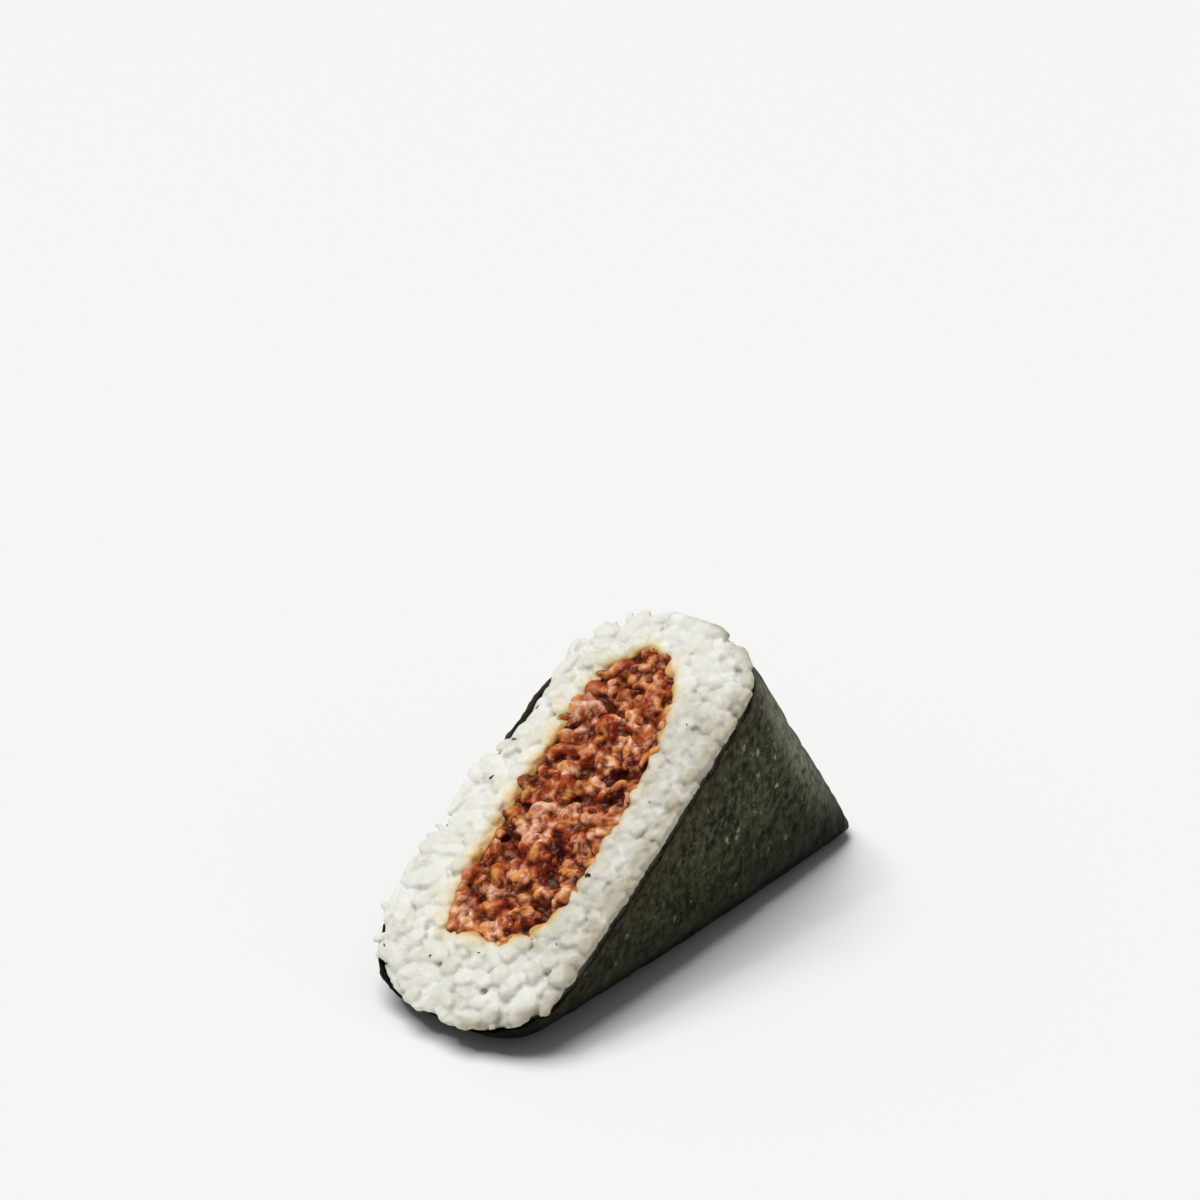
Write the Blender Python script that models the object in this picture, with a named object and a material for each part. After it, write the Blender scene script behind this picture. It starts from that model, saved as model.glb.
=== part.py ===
"""Half of a triangle gimbap, cut from its apex to the middle of its base.

Seasoned rice round a spicy tuna filling, wrapped in one sheet of dried seaweed. The half lies on the
narrow face along its slanted side, so the cut leans back by half of the apex angle.

Lengths are in millimetres. The shape is worked out in the cut's own frame: u runs up the cut face
from where a sharp apex would be, v runs across the thickness, and q runs from the cut face into the
body. place() takes a point of it to the part's frame, which is in metres.
"""

import math
import random

import bmesh
import bpy
from mathutils import Matrix, Vector, noise

METRES = 0.001

# Driving dimensions of the half. The edges between the broad and the narrow faces are rounded,
# and less so towards the tip, where the slanted side meets the base.
THICKNESS = 31.3
THICKEST_AT = 25.7
THINNER_AT_BASE = 1.9
CUT_LENGTH = 64.5
HALF_APEX = math.radians(31.0)
APEX_RADIUS = 8.2
TIP_RADIUS = 2.0
EDGE_RADIUS_NEAR = 10.4
EDGE_RADIUS_FAR = 12.4
EDGE_RADIUS_AT_TIP = 4.5
GRAINS_PAST_FRONT = 0.2

# The seaweed sheet. Its edge is a little ragged, and it stands off in shallow waves.
SHEET_THICKNESS = 0.45
SHEET_EDGE_DEPTH = 0.7
SHEET_EDGE_WANDER = 0.5
SHEET_EDGE_RAGS = 2.9
SHEET_WAVE = 0.5
WAVE_LENGTH = 15.0
SHEET_LOOPS = 19

# Gaps that keep touching pieces apart
GAP = 0.32
SHEET_TO_RICE = 0.55

# The filling's outline on the cut face, a squarish oval that leans and narrows towards the base
FILLING_MIDDLE = 41.9
FILLING_HALF_LENGTH = 23.4
FILLING_HALF_WIDTH = 8.0
FILLING_OFFSET = 1.35
FILLING_LEAN = 1.25
FILLING_CURVE = 0.4
FILLING_TAPER = 0.1
FILLING_PINCH = 0.17
FILLING_SQUARENESS = 4.0
FILLING_WANDER = 0.09

# How the filling goes on inside: straight at first, then smaller and nearer to the base
FILLING_STRAIGHT = 3.8
FILLING_DEPTH = 25.0
FILLING_END = 57.0
FILLING_SHARES = (0.0, 0.25, 0.5, 0.75, 0.92)

# The rice swells past the cut and over the sheet's edge. Each pair is how far in from the outside
# and how deep a ring of that rim lies, from inside the sheet to the flat of the face.
INSIDE_SHEET = SHEET_THICKNESS + SHEET_TO_RICE
RIM = ((INSIDE_SHEET, 0.1), (0.15, 0.05), (0.4, -0.3), (1.3, -0.45))
RICE_LOOPS = 11
RICE_FLAT_STEPS = 8

# Grains of rice and flakes of tuna that the cut laid bare. Their tops stand out past the cut.
GRAIN_LENGTH = 6.3
GRAIN_WIDTH = 3.0
GRAIN_HEIGHT = 2.6
GRAIN_SPACINGS = (2.9, 2.3, 1.9)
GRAIN_TOP = -1.5
GRAIN_OVERHANG = 0.6
GRAIN_FROM_FILLING = 1.3
GRAIN_FROM_RIM = 0.5
FLAKE_SIZE = 4.4
FLAKE_SPACING = 2.5
FLAKE_TOP = -1.4
FLAKE_FROM_EDGE = 1.2
FILLING_FRONT = 0.0
FILLING_CORE_INSET = 0.15
SCATTER_TRIES = 5000
FIT_TRIES = 30
SHRINK_PER_TRY = 0.012
SEED = 31

SINE, COSINE = math.sin(HALF_APEX), math.cos(HALF_APEX)
APEX_CENTRE = APEX_RADIUS / SINE
CUT_START = APEX_CENTRE - APEX_RADIUS
BASE = CUT_START + CUT_LENGTH
TIP_CENTRE_U = BASE - TIP_RADIUS
TIP_CENTRE_Q = (TIP_CENTRE_U * SINE - TIP_RADIUS) / COSINE
FRONT_X = CUT_START * COSINE - GRAINS_PAST_FRONT
TIP_X = BASE / COSINE - TIP_RADIUS * (1 / math.tan(math.pi / 4 - HALF_APEX / 2) - 1)
CENTRE_X = (FRONT_X + TIP_X) / 2


def clear_scene():
    for obj in list(bpy.data.objects):
        bpy.data.objects.remove(obj)


def place(u, v, q):
    """A point of the cut's frame, in the part's frame and in metres."""
    return Vector((u * COSINE + q * SINE - CENTRE_X, v, u * SINE - q * COSINE)) * METRES


def smooth(value, low, high):
    t = min(1.0, max(0.0, (value - low) / (high - low)))
    return t * t * (3 - 2 * t)


# The outer form


def inset(u, q):
    """How far a point of the triangle's plane lies in from the narrow faces."""
    from_slant = u * SINE - q * COSINE
    before_apex_arc = (u - APEX_CENTRE) * COSINE + q * SINE < 0
    if before_apex_arc:
        return APEX_RADIUS - math.hypot(u - APEX_CENTRE, q)
    past_slant = (u - TIP_CENTRE_U) * COSINE + (q - TIP_CENTRE_Q) * SINE > 0
    if past_slant and q > TIP_CENTRE_Q and from_slant < TIP_RADIUS:
        return TIP_RADIUS - math.hypot(u - TIP_CENTRE_U, q - TIP_CENTRE_Q)
    return min(from_slant, BASE - u)


def half_thickness(u, q, skin, side):
    """Half of the thickness at a point of the triangle's plane, taken in by skin on every face."""
    widest = THICKNESS / 2 - THINNER_AT_BASE * ((u - THICKEST_AT) / (BASE - THICKEST_AT)) ** 2 - skin
    at_cut = EDGE_RADIUS_NEAR if side < 0 else EDGE_RADIUS_FAR
    radius = at_cut + (EDGE_RADIUS_AT_TIP - at_cut) * q / TIP_CENTRE_Q - skin
    depth = min(max(inset(u, q) - skin, 0.0), radius)
    return widest - radius + math.sqrt(radius**2 - (radius - depth) ** 2)


def within(u, v, q, skin):
    """Whether a point lies inside the outer form, taken in by skin."""
    return inset(u, q) >= skin and abs(v) <= half_thickness(u, q, skin, v)


def where_inset_is(wanted, q, outer, inner):
    """Bisects along a section for the place that lies this far in."""
    for _ in range(40):
        middle = (outer + inner) / 2
        if inset(middle, q) < wanted:
            outer = middle
        else:
            inner = middle
    return inner


def deepest(q):
    """The place of a section that lies furthest in."""
    low = q / math.tan(HALF_APEX)
    steps = [low + (BASE - low) * i / 200 for i in range(201)]
    return max(steps, key=lambda u: inset(u, q))


def section(q, skin, flat_steps=6, arc_steps=4):
    """The closed loop of (u, v) that a cut at depth q shows, taken in by skin."""
    middle = deepest(q)
    rounded = min(EDGE_RADIUS_FAR - skin, 0.92 * (inset(middle, q) - skin))
    depths = [rounded * (1 - math.cos(math.pi / 2 * i / arc_steps)) for i in range(arc_steps + 1)]
    low = [where_inset_is(skin + d, q, 0.0, middle) for d in depths]
    high = [where_inset_is(skin + d, q, BASE + 1, middle) for d in depths]
    flat = [low[-1] + (high[-1] - low[-1]) * i / flat_steps for i in range(1, flat_steps)]
    stations = low + flat + high[::-1]
    near = [(u, -half_thickness(u, q, skin, -1)) for u in stations]
    far = [(u, half_thickness(u, q, skin, 1)) for u in reversed(stations)]
    return near + [(high[0], 0.0)] + far + [(low[0], 0.0)]


def depths_of_loops(first, last, count):
    """Depths from the cut to the tip, closer together near both."""
    shares = [i / (count - 1) for i in range(count)]
    return [first + (last - first) * (0.45 * t + 0.55 * (1 - math.cos(math.pi * t)) / 2) for t in shares]


# Meshes from rings of points


def ring_at(loop, q):
    return [place(u, v, q) for u, v in loop]


def band(first, second, count):
    """Triangles between two rings of count points, given the index of each ring's first point."""
    faces = []
    for i in range(count):
        j = (i + 1) % count
        faces += [(first + i, first + j, second + j), (first + i, second + j, second + i)]
    return faces


def tube(first_ring, rings, count):
    """Bands through consecutive rings."""
    faces = []
    for number in range(first_ring, first_ring + rings - 1):
        faces += band(number * count, (number + 1) * count, count)
    return faces


def lid(ring, count):
    """Triangles across a ring, from its near side to its far side."""
    first = ring * count
    last = first + count - 1
    faces = [(last, first, last - 1)]
    for i in range(count // 2 - 2):
        near, far = first + i, last - 1 - i
        faces += [(near, near + 1, far), (near + 1, far - 1, far)]
    middle = first + count // 2 - 1
    faces.append((middle - 1, middle, middle + 1))
    return faces


def new_object(name, rings, faces, finish):
    """An object from rings of points, with its faces turned outwards."""
    mesh = bpy.data.meshes.new(name)
    mesh.from_pydata([tuple(point) for ring in rings for point in ring], [], faces)
    shape = bmesh.new()
    shape.from_mesh(mesh)
    bmesh.ops.recalc_face_normals(shape, faces=shape.faces)
    shape.to_mesh(mesh)
    shape.free()
    mesh.materials.append(finish)
    obj = bpy.data.objects.new(name, mesh)
    bpy.context.scene.collection.objects.link(obj)
    return obj


def material(name, colour, roughness):
    made = bpy.data.materials.new(name)
    made.use_nodes = True
    shader = made.node_tree.nodes["Principled BSDF"]
    shader.inputs["Base Color"].default_value = (*colour, 1.0)
    shader.inputs["Roughness"].default_value = roughness
    shader.inputs["Metallic"].default_value = 0.0
    return made


# The filling's outline


def outside_filling(u, v):
    """About how far a point of the cut face lies outside the filling's outline, negative inside."""

    def level(u, v):
        t = (u - FILLING_MIDDLE) / FILLING_HALF_LENGTH
        width = FILLING_HALF_WIDTH * (1 - FILLING_TAPER * t - FILLING_PINCH * t * t)
        s = (v - FILLING_OFFSET - FILLING_LEAN * t - FILLING_CURVE * t * t) / width
        turn = math.atan2(s, t)
        wander = noise.noise(Vector((1.7 * math.cos(turn), 1.7 * math.sin(turn), 4.2)))
        size = (abs(t) ** FILLING_SQUARENESS + abs(s) ** FILLING_SQUARENESS) ** (1 / FILLING_SQUARENESS)
        return size - 1 - FILLING_WANDER * wander

    step = 0.05
    here = level(u, v)
    slope = math.hypot(level(u + step, v) - here, level(u, v + step) - here) / step
    return here / max(slope, 0.02)


def filling_outline(margin):
    """The filling's outline moved out by margin, one point towards each point of the rice's rim."""
    points = []
    for u_rim, v_rim in section(0.0, RIM[-1][0], RICE_FLAT_STEPS):
        u_step, v_step = u_rim - FILLING_MIDDLE, v_rim - FILLING_OFFSET
        inner, outer = 0.0, 1.0
        for _ in range(40):
            middle = (inner + outer) / 2
            if outside_filling(FILLING_MIDDLE + u_step * middle, FILLING_OFFSET + v_step * middle) < margin:
                inner = middle
            else:
                outer = middle
        points.append((FILLING_MIDDLE + u_step * inner, FILLING_OFFSET + v_step * inner))
    return points


def filling_rings(outline, front, end):
    """The outline carried into the body from depth front to depth end."""
    rings = [ring_at(outline, front)]
    for share in FILLING_SHARES:
        length = (1 - share) ** 0.75
        width = (1 - share) ** 0.45
        middle = FILLING_MIDDLE + (FILLING_END - FILLING_MIDDLE) * share
        loop = [
            (middle + (u - FILLING_MIDDLE) * length, FILLING_OFFSET + (v - FILLING_OFFSET) * width)
            for u, v in outline
        ]
        rings.append(ring_at(loop, FILLING_STRAIGHT + (end - FILLING_STRAIGHT) * share))
    return rings


# Grains and flakes


def pip(length, width, height, bend, blunt):
    """A closed low-sided grain about the origin, long in X and round at both ends."""
    shape = bmesh.new()
    bmesh.ops.create_uvsphere(shape, u_segments=6, v_segments=4, radius=0.5)
    for vert in shape.verts:
        along, across, up = vert.co.z, vert.co.x, vert.co.y
        shoulder = 1.18 if 0.1 < abs(along) < 0.45 else 1.0
        swell = (1 + blunt * along) * shoulder
        curve = bend * (0.25 - along * along)
        vert.co = Vector((along * length, across * width * swell + curve, up * height * swell))
    return shape


def make_grain(chooser, size):
    length = GRAIN_LENGTH * chooser.uniform(0.82, 1.08) * size
    plump = chooser.uniform(0.9, 1.06) * math.sqrt(size)
    bend, blunt = chooser.uniform(-0.9, 0.9), chooser.uniform(-0.25, 0.25)
    return pip(length, GRAIN_WIDTH * plump, GRAIN_HEIGHT * plump, bend, blunt)


def make_flake(chooser, size):
    length = FLAKE_SIZE * chooser.uniform(0.75, 1.35) * size
    width = FLAKE_SIZE * chooser.uniform(0.55, 0.85) * size
    shape = pip(length, width, width * chooser.uniform(0.7, 1.0), 0.0, chooser.uniform(-0.4, 0.4))
    for vert in shape.verts:
        vert.co *= chooser.uniform(0.86, 1.12)
    return shape


def tumble(chooser):
    """A turn to any heading in the cut face. Some stand steeply, so that the cut shows their ends."""
    heading = Matrix.Rotation(chooser.uniform(0, 2 * math.pi), 4, "Z")
    lean = Matrix.Rotation(chooser.gauss(0, chooser.choice((0.2, 0.2, 0.8))), 4, "Y")
    roll = Matrix.Rotation(chooser.uniform(0, 2 * math.pi), 4, "X")
    return heading @ lean @ roll


def spots(chooser, spacing, allowed, taken=()):
    """Places on the cut face at least spacing apart, also from the taken ones."""
    found = []
    for _ in range(SCATTER_TRIES):
        u = chooser.uniform(CUT_START, BASE)
        v = chooser.uniform(-THICKNESS / 2, THICKNESS / 2)
        clear = all(math.hypot(u - a, v - b) >= spacing for a, b in (*taken, *found))
        if clear and allowed(u, v):
            found.append((u, v))
    return found


def grain_fits(points):
    """Whether a grain's points stay clear of the filling and of the sheet."""
    for u, v, q in points:
        beside_sheet = q > RIM[0][1]
        skin = INSIDE_SHEET if beside_sheet else -GRAIN_OVERHANG
        if outside_filling(u, v) < GAP or not within(u, v, max(q, 0.0), skin):
            return False
    return True


def flake_fits(points):
    return all(outside_filling(u, v) < 0 and q < FILLING_STRAIGHT for u, v, q in points)


def scatter(name, chooser, places, make, fits, top):
    """A collection of small shapes on the cut face, each turned and shrunk until it fits its place."""
    group = bpy.data.collections.new(name)
    bpy.context.scene.collection.children.link(group)
    for u, v in places:
        for attempt in range(FIT_TRIES):
            shape = make(chooser, 1 - SHRINK_PER_TRY * attempt)
            shape.transform(tumble(chooser))
            q = top + chooser.gauss(0, 0.2) + max(vert.co.z for vert in shape.verts)
            points = [(u + vert.co.x, v + vert.co.y, q - vert.co.z) for vert in shape.verts]
            fitted = fits(points)
            if fitted:
                for vert, point in zip(shape.verts, points):
                    vert.co = place(*point)
                bmesh.ops.recalc_face_normals(shape, faces=shape.faces)
                mesh = bpy.data.meshes.new(name)
                shape.to_mesh(mesh)
                group.objects.link(bpy.data.objects.new(name, mesh))
            shape.free()
            if fitted:
                break
    return group


def fuse(core, group):
    """Joins a collection's shapes to the core by one Boolean union, and applies it."""
    union = core.modifiers.new("fuse", "BOOLEAN")
    union.operation = "UNION"
    union.operand_type = "COLLECTION"
    union.collection = group
    union.solver = "EXACT"
    graph = bpy.context.evaluated_depsgraph_get()
    joined = bpy.data.meshes.new_from_object(core.evaluated_get(graph))
    core.modifiers.clear()
    core.data = joined
    for obj in list(group.objects):
        bpy.data.objects.remove(obj)
    bpy.data.collections.remove(group)
    keep_outer_shell(joined)


def shells_of(shape):
    """The faces of each connected surface of a bmesh."""
    waiting = set(shape.faces)
    shells = []
    while waiting:
        front = [waiting.pop()]
        shell = set(front)
        while front:
            touching = {face for edge in front.pop().edges for face in edge.link_faces} & waiting
            waiting -= touching
            shell |= touching
            front += touching
        shells.append(shell)
    return shells


def keep_outer_shell(mesh):
    """Fills the hollows that fusing sealed and drops loose scraps, leaving one closed surface."""
    shape = bmesh.new()
    shape.from_mesh(mesh)
    spare = [vert for vert in shape.verts if len(vert.link_edges) == 2]
    bmesh.ops.dissolve_verts(shape, verts=spare)
    bmesh.ops.triangulate(shape, faces=shape.faces)
    largest = max(shells_of(shape), key=len)
    scraps = [face for face in shape.faces if face not in largest]
    bmesh.ops.delete(shape, geom=scraps, context="FACES")
    loose = [vert for vert in shape.verts if not vert.link_faces]
    bmesh.ops.delete(shape, geom=loose, context="VERTS")
    shape.to_mesh(mesh)
    shape.free()


# The sheet


def wave(u, v, q):
    """How far the sheet stands off there. It lies flat where the half rests."""
    height = u * SINE - q * COSINE
    ripple = 0.5 + 0.5 * noise.noise(Vector((u, 0.7 * v, 1.3 * q)) / WAVE_LENGTH + Vector((3.1, 7.7, 1.9)))
    return SHEET_WAVE * ripple * smooth(height, 3.0, 9.0) * smooth(q, 0.0, 5.0)


def edge_depth(u, v):
    """How deep the sheet's ragged edge lies there."""
    rag = noise.noise(Vector((u, v, 0.0)) / SHEET_EDGE_RAGS + Vector((5.0, 0.0, 2.0)))
    return SHEET_EDGE_DEPTH + SHEET_EDGE_WANDER * rag


def sheet_ring(depth, skin, ragged):
    """One ring round the sheet, on its outer face at skin 0 and its inner face at its thickness."""
    loop = section(depth, skin)
    ring = []
    for i, (u, v) in enumerate(loop):
        q = depth
        if ragged:
            q = edge_depth(u, v)
            u, v = section(q, skin)[i]
        before, after = loop[i - 1], loop[(i + 1) % len(loop)]
        outwards = Vector((after[1] - before[1], before[0] - after[0])).normalized()
        lift = wave(u, v, q)
        ring.append(place(u + outwards.x * lift, v + outwards.y * lift, q))
    return ring


def build_sheet(finish):
    """The seaweed, one sheet round every face but the cut."""
    rings = []
    for skin in (0.0, SHEET_THICKNESS):
        last = TIP_CENTRE_Q + (TIP_RADIUS - skin) * 0.93
        for depth in depths_of_loops(SHEET_EDGE_DEPTH, last, SHEET_LOOPS):
            rings.append(sheet_ring(depth, skin, depth == SHEET_EDGE_DEPTH))
    count = len(rings[0])
    faces = tube(0, SHEET_LOOPS, count) + lid(SHEET_LOOPS - 1, count)
    faces += tube(SHEET_LOOPS, SHEET_LOOPS, count) + lid(2 * SHEET_LOOPS - 1, count)
    faces += band(0, SHEET_LOOPS * count, count)
    new_object("seaweed_sheet", rings, faces, finish)


# The rice and the filling


def on_rice(u, v):
    return outside_filling(u, v) > GRAIN_FROM_FILLING and within(u, v, 0.0, GRAIN_FROM_RIM)


def on_filling(u, v):
    return outside_filling(u, v) < -FLAKE_FROM_EDGE


def build_rice(finish, chooser):
    """The packed rice, with a pocket for the filling and the cut grains fused to its face."""
    rings = [ring_at(section(0.0, skin, RICE_FLAT_STEPS), depth) for skin, depth in reversed(RIM)]
    last = TIP_CENTRE_Q + (TIP_RADIUS - INSIDE_SHEET) * 0.8
    for depth in depths_of_loops(RIM[0][1], last, RICE_LOOPS)[1:]:
        rings.append(ring_at(section(depth, INSIDE_SHEET, RICE_FLAT_STEPS), depth))
    body = len(rings)
    pocket = filling_rings(filling_outline(GAP), RIM[-1][1], FILLING_DEPTH)
    rings += pocket
    count = len(rings[0])
    faces = tube(0, body, count) + lid(body - 1, count)
    faces += band(0, body * count, count)
    faces += tube(body, len(pocket), count) + lid(len(rings) - 1, count)
    rice = new_object("rice", rings, faces, finish)
    places = []
    for spacing in GRAIN_SPACINGS:
        places += spots(chooser, spacing, on_rice, places)
    fuse(rice, scatter("grain", chooser, places, make_grain, grain_fits, GRAIN_TOP))


def build_filling(finish, chooser):
    """The tuna in chilli sauce: a core that runs into the body, with flakes fused to its cut end."""
    outline = filling_outline(-FILLING_CORE_INSET)
    rings = filling_rings(outline, FILLING_FRONT, FILLING_DEPTH - 2 * GAP)
    count = len(outline)
    faces = tube(0, len(rings), count) + lid(0, count) + lid(len(rings) - 1, count)
    filling = new_object("tuna_filling", rings, faces, finish)
    places = spots(chooser, FLAKE_SPACING, on_filling)
    fuse(filling, scatter("flake", chooser, places, make_flake, flake_fits, FLAKE_TOP))


def main():
    clear_scene()
    chooser = random.Random(SEED)
    build_sheet(material("seaweed", (0.018, 0.022, 0.012), 0.5))
    build_rice(material("rice", (0.80, 0.79, 0.74), 0.4), chooser)
    build_filling(material("tuna", (0.33, 0.08, 0.02), 0.3), chooser)


main()
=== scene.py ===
"""Looks of half a triangle gimbap: packed rice grains, crumbly spicy tuna and a sheet of dried seaweed.

The shapes are worked out in the cut's own frame, in millimetres: u runs up the cut face from where a
sharp apex would be, v runs across the thickness, and q runs from the cut face into the body. placed()
takes points of it to the part's frame, in metres.
"""

import math

import bmesh
import bpy
import numpy as np
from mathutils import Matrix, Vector, bvhtree, kdtree, noise


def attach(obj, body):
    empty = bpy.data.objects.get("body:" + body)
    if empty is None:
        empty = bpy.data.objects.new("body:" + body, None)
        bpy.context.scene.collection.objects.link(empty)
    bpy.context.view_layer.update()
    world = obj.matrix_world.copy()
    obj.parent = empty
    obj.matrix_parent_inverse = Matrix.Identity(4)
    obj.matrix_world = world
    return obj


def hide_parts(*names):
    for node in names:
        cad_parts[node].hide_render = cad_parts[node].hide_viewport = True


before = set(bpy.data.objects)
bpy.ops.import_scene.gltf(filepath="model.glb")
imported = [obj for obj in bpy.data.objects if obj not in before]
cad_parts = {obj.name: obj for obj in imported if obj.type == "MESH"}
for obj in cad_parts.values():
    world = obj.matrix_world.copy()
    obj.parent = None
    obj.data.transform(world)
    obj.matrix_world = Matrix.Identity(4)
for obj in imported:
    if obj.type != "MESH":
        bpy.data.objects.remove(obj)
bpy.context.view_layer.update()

# The half's dimensions, the same as in the solids
THICKNESS = 31.3
THICKEST_AT = 25.7
THINNER_AT_BASE = 1.9
CUT_LENGTH = 64.5
HALF_APEX = math.radians(31.0)
APEX_RADIUS = 8.2
TIP_RADIUS = 2.0
EDGE_RADIUS_NEAR = 10.4
EDGE_RADIUS_FAR = 12.4
EDGE_RADIUS_AT_TIP = 4.5
GRAINS_PAST_FRONT = 0.2
SHEET_THICKNESS = 0.45
SHEET_TO_RICE = 0.55
SHEET_EDGE_DEPTH = 0.7
SHEET_EDGE_WANDER = 0.5
SHEET_EDGE_RAGS = 2.9
SHEET_WAVE = 0.5
WAVE_LENGTH = 15.0
INSIDE_SHEET = SHEET_THICKNESS + SHEET_TO_RICE
FILLING_MIDDLE = 41.9
FILLING_HALF_LENGTH = 23.4
FILLING_OFFSET = 1.35
FILLING_LEAN = 1.25
FILLING_TAPER = 0.1
FILLING_PINCH = 0.17
FILLING_SQUARENESS = 4.0
FILLING_WANDER = 0.09
FILLING_STRAIGHT = 3.8
FILLING_DEPTH = 25.0
FILLING_END = 57.0

SINE, COSINE = math.sin(HALF_APEX), math.cos(HALF_APEX)
APEX_CENTRE = APEX_RADIUS / SINE
CUT_START = APEX_CENTRE - APEX_RADIUS
BASE = CUT_START + CUT_LENGTH
TIP_CENTRE_U = BASE - TIP_RADIUS
TIP_CENTRE_Q = (TIP_CENTRE_U * SINE - TIP_RADIUS) / COSINE
FRONT_X = CUT_START * COSINE - GRAINS_PAST_FRONT
TIP_X = BASE / COSINE - TIP_RADIUS * (1 / math.tan(math.pi / 4 - HALF_APEX / 2) - 1)
CENTRE_X = (FRONT_X + TIP_X) / 2

# The crumbs at the cut lie a little nearer to the side that faces the camera than the core behind them
CRUMBS_OFFSET = 0.4
CRUMBS_HALF_WIDTH = 8.2
CRUMBS_WIDER_LOW = 0.5
CRUMBS_CURVE = 1.1

# Where the cut runs through the grains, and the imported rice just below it
CUT_LEVEL = -1.3
CORE_LEVEL = -0.85
SLAB_DEPTH = 1.1

# The stretch of the far side where the sheet's edge shows beyond the rice
BARE_FROM = (43.5, 48.0)
BARE_TO = (56.0, 61.0)
BARE_ON_SIDE = (9.0, 12.0)

random = np.random.default_rng(31)


def placed(points):
    """Points of the cut's frame, in the part's frame and in metres."""
    u, v, q = points.T
    return stacked(u * COSINE + q * SINE - CENTRE_X, v, u * SINE - q * COSINE) * 0.001


def stacked(*coordinates):
    """Points from their coordinates. A coordinate that is one number is the same for all."""
    return np.stack(np.broadcast_arrays(*coordinates), axis=1)


def smooth(value, low, high):
    """Rises from 0 at low to 1 at high."""
    t = np.clip((value - low) / (high - low), 0.0, 1.0)
    return t * t * (3 - 2 * t)


def falling(value, low, high):
    """Falls from 1 at low to 0 at high."""
    return smooth(-value, -high, -low)


def noise_at(points, size, shift=0.0):
    """Smooth noise from about -1 to 1, with bumps of that size."""
    offset = Vector((shift, 1.7 * shift, -0.6 * shift))
    return np.array([noise.noise(Vector(p) / size + offset) for p in points])


def above_ground(points):
    return points[:, 0] * SINE - points[:, 2] * COSINE


# The outer form


def inset(u, q):
    """How far points of the triangle's plane lie in from the narrow faces."""
    from_slant = u * SINE - q * COSINE
    depth = np.minimum(from_slant, BASE - u)
    past_slant = (u - TIP_CENTRE_U) * COSINE + (q - TIP_CENTRE_Q) * SINE > 0
    at_tip = past_slant & (q > TIP_CENTRE_Q) & (from_slant < TIP_RADIUS)
    depth = np.where(at_tip, TIP_RADIUS - np.hypot(u - TIP_CENTRE_U, q - TIP_CENTRE_Q), depth)
    before_apex_arc = (u - APEX_CENTRE) * COSINE + q * SINE < 0
    return np.where(before_apex_arc, APEX_RADIUS - np.hypot(u - APEX_CENTRE, q), depth)


def half_thickness(u, q, skin, side):
    """Half of the thickness at points of the triangle's plane, taken in by skin on every face."""
    widest = THICKNESS / 2 - THINNER_AT_BASE * ((u - THICKEST_AT) / (BASE - THICKEST_AT)) ** 2 - skin
    at_cut = np.where(np.asarray(side) < 0, EDGE_RADIUS_NEAR, EDGE_RADIUS_FAR)
    radius = at_cut + (EDGE_RADIUS_AT_TIP - at_cut) * q / TIP_CENTRE_Q - skin
    depth = np.clip(inset(u, q) - skin, 0.0, radius)
    return widest - radius + np.sqrt(radius * radius - (radius - depth) ** 2)


def bisected(inner, outer, is_in, rounds=40):
    """Closes in on where is_in turns false between inner and outer."""
    for _ in range(rounds):
        middle = (inner + outer) / 2
        within = is_in(middle)
        inner = np.where(within, middle, inner)
        outer = np.where(within, outer, middle)
    return inner


def section(q, skin, flat_steps=84, arc_steps=34, narrow_steps=18):
    """The closed loop of (u, v) that a cut at depth q shows, taken in by skin."""
    steps = np.linspace(q / math.tan(HALF_APEX), BASE, 400)
    deepest = steps[np.argmax(inset(steps, q))]
    rounded = min(EDGE_RADIUS_FAR - skin, 0.92 * (inset(deepest, q) - skin))
    depths = skin + rounded * (1 - np.cos(np.pi / 2 * np.arange(arc_steps + 1) / arc_steps))
    low, high = (bisected(deepest, end, lambda u: inset(u, q) >= depths) for end in (0.0, BASE + 1))
    flat = np.linspace(low[-1], high[-1], flat_steps + 1)[1:-1]
    stations = np.concatenate((low, flat, high[::-1]))
    near = stacked(stations, -half_thickness(stations, q, skin, -1))
    far = stacked(stations, half_thickness(stations, q, skin, 1))[::-1]
    across = np.arange(1, narrow_steps)[:, None] / narrow_steps
    top = near[-1] + (far[0] - near[-1]) * across
    bottom = far[-1] + (near[0] - far[-1]) * across
    return np.concatenate((near, top, far, bottom))


def bare_edge(u, v):
    """1 along the stretch of the far side where the sheet's edge shows beyond the rice, 0 elsewhere."""
    return smooth(u, *BARE_FROM) * falling(u, *BARE_TO) * smooth(v, *BARE_ON_SIDE)


def at_low_end(u):
    """1 at the rounded end that lies lowest, 0 from there on."""
    return falling(u, CUT_START + 2, CUT_START + 9)


def outside_filling(u, v):
    """About how far points of the cut face lie outside the filling's outline, negative inside."""

    def level(u, v):
        t = (u - FILLING_MIDDLE) / FILLING_HALF_LENGTH
        low = np.minimum(t, 0.0) ** 2
        width = CRUMBS_HALF_WIDTH * (1 - FILLING_TAPER * t - FILLING_PINCH * t * t) + CRUMBS_WIDER_LOW * low
        s = (v - CRUMBS_OFFSET - FILLING_LEAN * t - CRUMBS_CURVE * (t * t - 0.8 * low)) / width
        turn = np.arctan2(s, t)
        wander = noise_at(stacked(1.7 * np.cos(turn), 1.7 * np.sin(turn), 4.2), 1.0)
        size = (np.abs(t) ** FILLING_SQUARENESS + np.abs(s) ** FILLING_SQUARENESS) ** (1 / FILLING_SQUARENESS)
        return size - 1 - FILLING_WANDER * wander

    step = 0.05
    here = level(u, v)
    slope = np.hypot(level(u + step, v) - here, level(u, v + step) - here) / step
    return here / np.maximum(slope, 0.02)


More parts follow.
